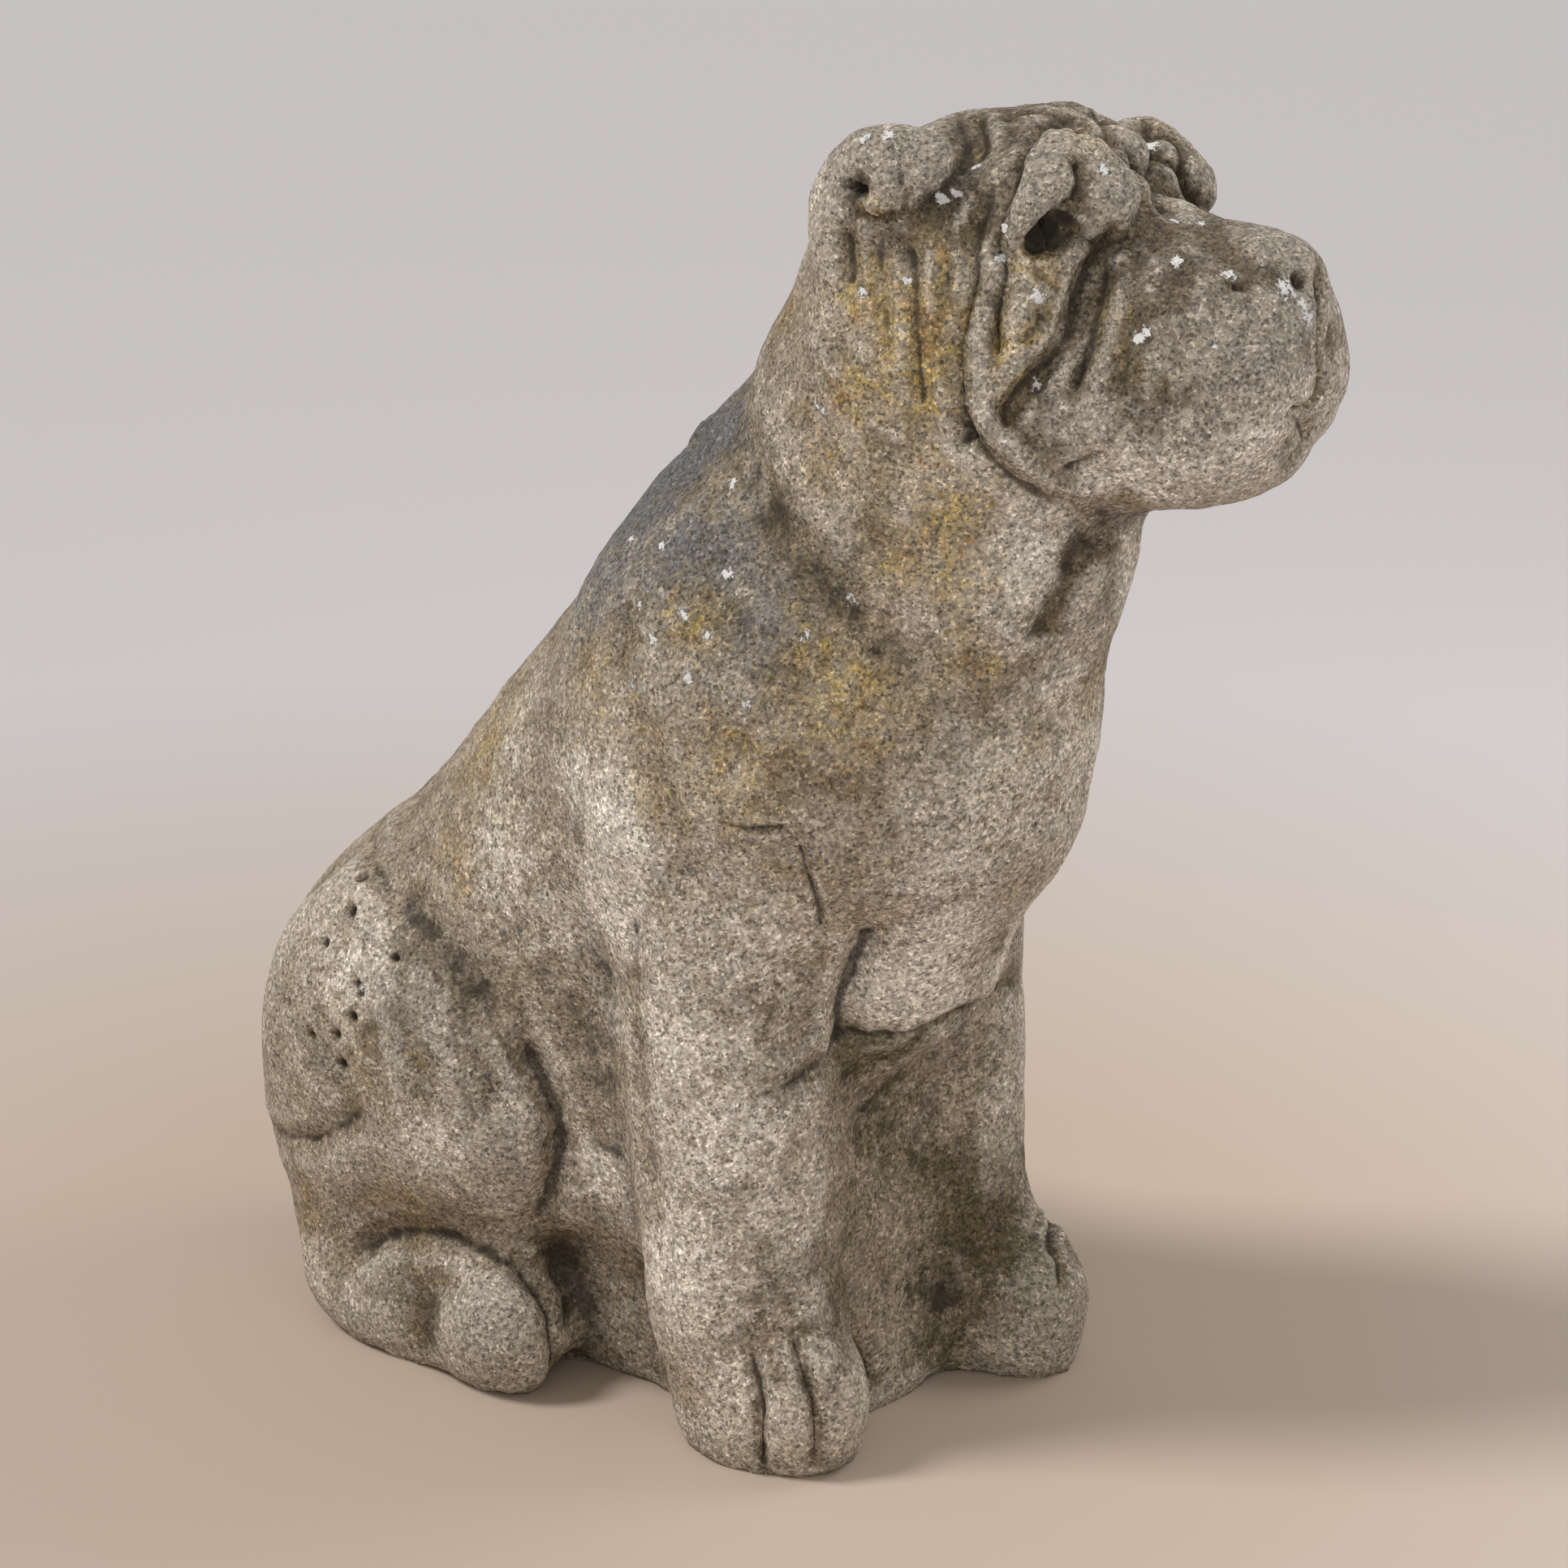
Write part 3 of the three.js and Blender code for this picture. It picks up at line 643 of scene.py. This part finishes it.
CRUST_ON_BODY = [
    ((899, 592), 2.6, 1), ((777, 665), 2.4, 1), ((817, 673), 2.6, 1), ((897, 706), 2.8, 1),
    ((785, 742), 2.6, 0.9), ((843, 758), 2.6, 1), ((803, 789), 3.0, 1), ((871, 782), 2.4, 0.9),
    ((991, 782), 2.6, 0.8), ((921, 867), 2.6, 1), ((848, 834), 3.0, 1), ((796, 855), 2.4, 0.8),
    ((1010, 500), 3.2, 0.9), ((1005, 545), 2.2, 0.8), ((1048, 740), 2.6, 0.8),
    ((780, 850), 2.6, 0.9), ((440, 1215), 2.8, 0.7), ((1078, 1165), 2.4, 0.6),
    ((742, 1040), 3.2, 0.8), ((1205, 912), 2.4, 0.6),
]
print(len(OCHRE_ON_HEAD + OCHRE_ON_BODY), "ochre,", len(CRUST_ON_HEAD + CRUST_ON_BODY), "crusts,",
      len(MOSS_ON_BODY), "moss")

# %% [markdown]
# Dirt and painted shade go into the hollows, which we find by comparing the skin with a smoothed
# copy of itself: a few rounds of smoothing show the fine ones, and many rounds the broad ones. The
# places above are measured on the skin as it was before the carving, so that a spot keeps its size
# where it lies in a fold. Tops that face the sky collect grime, so they come out darker and a
# little greyer. The masks are stored on the vertices, where the material reads them. The weights
# were set one by one.

# %% Mask helpers


def smoothed(values, edges, rounds):
    """Values at the vertices, each moved halfway to its neighbours' average some times over."""
    count = np.bincount(edges.ravel(), minlength=len(values))[:, None]
    for _ in range(rounds):
        total = np.zeros_like(values)
        for axis in range(values.shape[1]):
            total[:, axis] = (np.bincount(edges[:, 0], values[edges[:, 1], axis], len(values))
                              + np.bincount(edges[:, 1], values[edges[:, 0], axis], len(values)))
        values = 0.5 * values + 0.5 * total / count
    return values


def hollowness(points, normals, edges, rounds):
    """Positive in hollows and negative on ridges, in millimetres."""
    return ((smoothed(points, edges, rounds) - points) * normals).sum(1) / MM


def patches(spots, plane=None):
    """A soft mask from spots given as (pixel, radius in millimetres, strength)."""
    mask = np.zeros(len(uncarved))
    for pixel, radius, strength in spots:
        centre = on_stone(pixel)
        centres = [centre] + (mirrored([centre], plane) if plane else [])
        for c in centres:
            away = np.linalg.norm(uncarved - np.array(c), axis=1) / (radius * MM)
            mask = np.maximum(mask, strength * np.exp(-away**2))
    return mask


def on_both(on_head, on_body):
    """The stronger of two masks, one mirrored with the head and one with the body."""
    return np.maximum(patches(on_head, HEAD), patches(on_body, BODY))


# %% Masks
FINE_ROUNDS, BROAD_ROUNDS = 4, 60
DAMP = 30 * MM  # the stone is damp and mossy up to here
FACES_UP = 0.25  # height of a normal from which grime collects
TOPS_FROM, TOPS_FADE = 0.25, 0.15  # tops are darker from this height, in metres
PIT_DARK, PIT_EDGE = 1.6, 0.6  # the painted shade of a pit is black only near its middle

mesh = skin.data
points = coordinates(mesh)
normals = directions(mesh)
edges = np.empty(len(mesh.edges) * 2, int)
mesh.edges.foreach_get("vertices", edges)
edges = edges.reshape(-1, 2)
fine = hollowness(points, normals, edges, FINE_ROUNDS)
broad = hollowness(points, normals, edges, BROAD_ROUNDS)
low = np.clip(1 - points[:, 2] / DAMP, 0, 1)
level = np.clip(normals[:, 2] - FACES_UP, 0, 1)
exposed = level * np.clip((points[:, 2] - TOPS_FROM) / TOPS_FADE, 0, 1)
# Dirt and painted shade: the bottoms of the marks and the fine and broad hollows are darkened.
cut = 0.85 * groove + 0.8 * hole + 0.8 * hollow_dirt_and_shade
slate = np.maximum(patches(SLATE_ON_BODY, BODY), 0.35 * exposed)
# Painted shade: the cast holes and the black spots on the head are painted near black.
black_shade = np.maximum(hole, patches(BLACK_ON_HEAD, HEAD))
masks = {
    "hollow_dirt_and_shade": np.clip(cut + 1.0 * fine + 0.14 * broad, 0, 1),
    "ridge": np.clip(-1.2 * fine - 0.3 * broad, 0, 1) * (1 - 0.8 * np.clip(slate, 0, 1)),
    "pit_shade": np.clip(PIT_DARK * black_shade - PIT_EDGE, 0, 1),
    "ochre": on_both(OCHRE_ON_HEAD, OCHRE_ON_BODY),
    "pale_stone_and_painted_light": on_both(PALE_ON_HEAD, PALE_AND_PAINTED_LIGHT_ON_BODY),
    "dark_stain_and_painted_shade": np.maximum(on_both(DARK_ON_HEAD, DARK_AND_PAINTED_SHADE_ON_BODY), 0.8 * exposed),
    "slate": slate,
    "moss": np.maximum(patches(MOSS_ON_BODY), 0.8 * low),
    "crust": on_both(CRUST_ON_HEAD, CRUST_ON_BODY),
}
for name, values in masks.items():
    mask = mesh.attributes.new(name, "FLOAT", "POINT")
    mask.data.foreach_set("value", values)
    print(f"{name}: covers {values.mean():.3f} of the skin")
select_only(skin)
bpy.ops.object.shade_smooth()

# %% [markdown]
# ## The stone
#
# The material is built up as the weather did it, with some light and shade painted in. It starts
# from sandy cement, lighter where it is bare and where light is painted on, and darker where algae
# have stained it and where shade is painted in. A thin olive film, ochre lichen and moss lie over
# it, each broken up by noise so that no mask shows a clean edge. Then every sand grain gets its own
# brightness from a cell pattern, with a few odd grains much brighter or darker than the rest. Dirt
# and painted shade fill the hollows, the pits are painted black as shade, and the white crusts lie
# on top of everything.

# %% Material helpers


class Paint:
    """A node material that is written as a list of steps."""

    def __init__(self, name):
        self.material = bpy.data.materials.new(name)
        self.material.use_nodes = True
        self.nodes = self.material.node_tree.nodes
        self.links = self.material.node_tree.links
        self.shader = self.nodes["Principled BSDF"]
        self.place = self.nodes.new("ShaderNodeTexCoord").outputs["Object"]

    def feed(self, socket, value):
        if isinstance(value, bpy.types.NodeSocket):
            self.links.new(value, socket)
        elif value is not None:
            socket.default_value = value

    def clouds(self, size, detail, rough=0.6):
        """Noise about size metres across, stretched to run from 0 to 1."""
        node = self.nodes.new("ShaderNodeTexNoise")
        self.feed(node.inputs["Vector"], self.place)
        self.feed(node.inputs["Scale"], 1 / size)
        self.feed(node.inputs["Detail"], detail)
        self.feed(node.inputs["Roughness"], rough)
        return self.ramp(node.outputs["Fac"], 0.3, 0.7)

    def grains(self, size):
        """A random number for each grain about size metres across."""
        node = self.nodes.new("ShaderNodeTexVoronoi")
        self.feed(node.inputs["Vector"], self.place)
        self.feed(node.inputs["Scale"], 1 / size)
        split = self.nodes.new("ShaderNodeSeparateColor")
        self.links.new(node.outputs["Color"], split.inputs[0])
        return split.outputs[0]

    def mask(self, name):
        node = self.nodes.new("ShaderNodeAttribute")
        node.attribute_name = name
        return node.outputs["Fac"]

    def math(self, operation, a, b, c=None):
        node = self.nodes.new("ShaderNodeMath")
        node.operation = operation
        for socket, value in zip(node.inputs, (a, b, c)):
            self.feed(socket, value)
        return node.outputs[0]

    def ramp(self, value, low, high, to_low=0.0, to_high=1.0):
        node = self.nodes.new("ShaderNodeMapRange")
        for socket, number in zip(node.inputs, (value, low, high, to_low, to_high)):
            self.feed(socket, number)
        return node.outputs[0]

    def broken(self, mask, noise_value, spread, low, high):
        """A mask whose edge is broken up by noise."""
        shifted = self.math("MULTIPLY_ADD", noise_value, spread, -spread / 2)
        return self.ramp(self.math("ADD", mask, shifted), low, high)

    def mix(self, under, over, share):
        node = self.nodes.new("ShaderNodeMix")
        node.data_type = "RGBA"
        self.feed(node.inputs["Factor"], share)
        self.feed(node.inputs["A"], under)
        self.feed(node.inputs["B"], over)
        return node.outputs["Result"]

    def brighten(self, colour, factor):
        node = self.nodes.new("ShaderNodeVectorMath")
        node.operation = "SCALE"
        self.feed(node.inputs[0], colour)
        self.feed(node.inputs["Scale"], factor)
        return node.outputs[0]

    def bump(self, height, distance, under=None):
        node = self.nodes.new("ShaderNodeBump")
        self.feed(node.inputs["Height"], height)
        self.feed(node.inputs["Distance"], distance)
        self.feed(node.inputs["Normal"], under)
        return node.outputs[0]


# %% Stone material
SAND = (0.335, 0.272, 0.200, 1)
BARE_AND_PAINTED_LIGHT = (0.700, 0.628, 0.532, 1)
STAINED_AND_SHADED = (0.128, 0.097, 0.064, 1)
SLATE = (0.145, 0.140, 0.138, 1)
OCHRE = (0.400, 0.275, 0.085, 1)
RUST = (0.330, 0.185, 0.070, 1)
OLIVE = (0.290, 0.222, 0.108, 1)
MOSS = (0.110, 0.092, 0.042, 1)
CRUST = (0.720, 0.700, 0.660, 1)
DIRT_AND_SHADE = (0.034, 0.027, 0.019, 1)
GRAIN = 1.1 * MM
OLIVE_COVER = 0.6  # how much of the stone shows no more where each colour is thickest
MOSS_COVER = 0.85
RIDGE_COVER = 0.4
DIRT_AND_SHADE_COVER = 0.84
DULL = 0.25  # stone hardly shines


def weathered_stone():
    paint = Paint("weathered_stone")
    wide = paint.clouds(70 * MM, 5)
    middle = paint.clouds(16 * MM, 5)
    small = paint.clouds(6 * MM, 4, 0.7)
    sandy = paint.clouds(1.8 * MM, 2, 0.7)
    blotches = paint.clouds(30 * MM, 4)
    coarse_grain = paint.grains(GRAIN * 1.6)
    fine_grain = paint.grains(GRAIN * 0.8)
    odd_grain = paint.grains(GRAIN)

    # Bare pale stone, and painted light on the lit edge of the near foreleg, the belly and the
    # neck.
    colour = paint.mix(SAND, BARE_AND_PAINTED_LIGHT, paint.broken(paint.mask("pale_stone_and_painted_light"), small, 1.1, 0.2, 0.9))
    # Algae stains, and painted shade on the near foreleg's shaded side and in the throat.
    stain_and_shade = paint.math("MULTIPLY_ADD", wide, 0.55, paint.mask("dark_stain_and_painted_shade"))
    stain_and_shade = paint.math("MULTIPLY_ADD", paint.mask("pale_stone_and_painted_light"), -0.5, stain_and_shade)
    colour = paint.mix(colour, STAINED_AND_SHADED, paint.broken(stain_and_shade, middle, 0.9, 0.25, 1.0))
    colour = paint.mix(colour, SLATE, paint.broken(paint.mask("slate"), small, 1.0, 0.25, 0.95))
    lichen = paint.mix(OCHRE, RUST, paint.ramp(middle, 0.45, 0.75))
    film = paint.math("ADD", paint.mask("ochre"), paint.ramp(blotches, 0.45, 1.0, 0, 0.45))
    olive_share = paint.broken(film, middle, 0.9, 0.1, 1.1)
    colour = paint.mix(colour, OLIVE, paint.ramp(olive_share, 0, 1, 0, OLIVE_COVER))
    lichen_share = paint.broken(film, small, 1.4, 0.55, 1.25)
    grain_share = paint.ramp(coarse_grain, 0.2, 0.7, 0.35, 0.95)
    lichen_share = paint.math("MULTIPLY", lichen_share, grain_share)
    colour = paint.mix(colour, lichen, lichen_share)
    moss_share = paint.broken(paint.mask("moss"), small, 1.2, 0.3, 1.0)
    colour = paint.mix(colour, MOSS, paint.math("MULTIPLY", moss_share, MOSS_COVER))
    colour = paint.mix(colour, BARE_AND_PAINTED_LIGHT, paint.ramp(paint.mask("ridge"), 0.2, 1.0, 0, RIDGE_COVER))

    speckle = paint.math("ADD", paint.math("MULTIPLY", coarse_grain, 0.45),
                         paint.math("MULTIPLY", fine_grain, 0.25))
    speckle = paint.math("MULTIPLY_ADD", sandy, 0.3, speckle)
    colour = paint.brighten(colour, paint.ramp(speckle, 0.2, 0.8, 0.55, 1.4))
    colour = paint.brighten(colour, paint.ramp(odd_grain, 0.82, 0.94, 1, 1.6))
    colour = paint.brighten(colour, paint.ramp(odd_grain, 0.20, 0.08, 1, 0.5))
    # Dirt and painted shade darken the hollows and the bottoms of the marks.
    dirt_and_shade_share = paint.broken(paint.mask("hollow_dirt_and_shade"), small, 0.7, 0.2, 1.0)
    colour = paint.mix(colour, DIRT_AND_SHADE, paint.math("MULTIPLY", dirt_and_shade_share, DIRT_AND_SHADE_COVER))
    # Painted shade: the pits are painted near black.
    colour = paint.mix(colour, DIRT_AND_SHADE, paint.mask("pit_shade"))
    crust_share = paint.broken(paint.mask("crust"), sandy, 0.7, 0.4, 0.6)
    colour = paint.mix(colour, CRUST, crust_share)
    paint.feed(paint.shader.inputs["Base Color"], colour)

    paint.feed(paint.shader.inputs["Roughness"], paint.ramp(speckle, 0, 1, 0.85, 1.0))
    paint.shader.inputs["Specular IOR Level"].default_value = DULL
    relief = paint.bump(small, 0.9 * MM)
    relief = paint.bump(speckle, 0.7 * MM, relief)
    relief = paint.bump(crust_share, 0.5 * MM, relief)
    paint.feed(paint.shader.inputs["Normal"], relief)
    return paint.material


skin.data.materials.clear()
skin.data.materials.append(weathered_stone())
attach(skin, "root")
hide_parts("bulldog")
print("stone material with", len(skin.data.materials[0].node_tree.nodes), "nodes")

# %% [markdown]
# ## Floor and light
#
# The figure stands on a plain pale floor that fades from warm to cool grey. The main light is a
# soft sun, high on the camera's left, so that the shadow falls to the right. A weak light near the
# camera fills the shadows, another one behind on the right brightens the edges of muzzle and chest,
# and an even sky does the rest.

# %% Floor
WARM_FLOOR = (0.48, 0.385, 0.305, 1)
COOL_FLOOR = (0.57, 0.54, 0.54, 1)
WARM_TO, COOL_FROM = 0.3, 1.0  # metres from the figure
FLOOR_RADIUS = 14
FLOOR_ROUGHNESS = 0.8

bpy.ops.mesh.primitive_circle_add(vertices=96, radius=FLOOR_RADIUS, fill_type="NGON")
floor = bpy.context.object
floor.name = "floor"
surface = Paint("pale_floor")
away = surface.nodes.new("ShaderNodeVectorMath")
away.operation = "LENGTH"
surface.links.new(surface.place, away.inputs[0])
fade = surface.ramp(away.outputs["Value"], WARM_TO, COOL_FROM)
surface.feed(surface.shader.inputs["Base Color"], surface.mix(WARM_FLOOR, COOL_FLOOR, fade))
surface.shader.inputs["Roughness"].default_value = FLOOR_ROUGHNESS
floor.data.materials.append(surface.material)
print("floor", FLOOR_RADIUS, "m in radius")

# %% Lights
LEFT = Vector((-0.63, 0.777, 0))
TOWARDS_CAMERA = Vector((-0.777, -0.63, 0))
UP = Vector((0, 0, 1))
SUN_FROM = LEFT * 0.9 + TOWARDS_CAMERA * 0.15 + UP * 1.15
SUN_ANGLE = math.radians(16)  # the wider, the softer the shadow
SUN_STRENGTH = 2.2
SKY = (1.0, 0.98, 0.97, 1)
SKY_STRENGTH = 0.43


def soft_light(name, place, size, watts):
    """A square lamp at a place measured from the figure, facing it."""
    bpy.ops.object.light_add(type="AREA", location=LOOKS_AT + place)
    light = bpy.context.object
    light.name = name
    light.rotation_euler = (-place).to_track_quat("-Z", "Y").to_euler()
    light.data.size = size
    light.data.energy = watts


bpy.ops.object.light_add(type="SUN", location=LOOKS_AT + SUN_FROM)
sun = bpy.context.object
sun.name = "key"
sun.rotation_euler = (-SUN_FROM).to_track_quat("-Z", "Y").to_euler()
sun.data.angle = SUN_ANGLE
sun.data.energy = SUN_STRENGTH
soft_light("fill", LEFT * -0.3 + TOWARDS_CAMERA * 1.5 + UP * 0.5, size=1.2, watts=6)
soft_light("edge", LEFT * -0.9 - TOWARDS_CAMERA * 0.35 + UP * 0.8, size=0.7, watts=5)

sky = bpy.data.worlds.new("studio")
bpy.context.scene.world = sky
sky.use_nodes = True
background = sky.node_tree.nodes["Background"]
background.inputs["Color"].default_value = SKY
background.inputs["Strength"].default_value = SKY_STRENGTH
bpy.context.scene.view_settings.view_transform = "Standard"
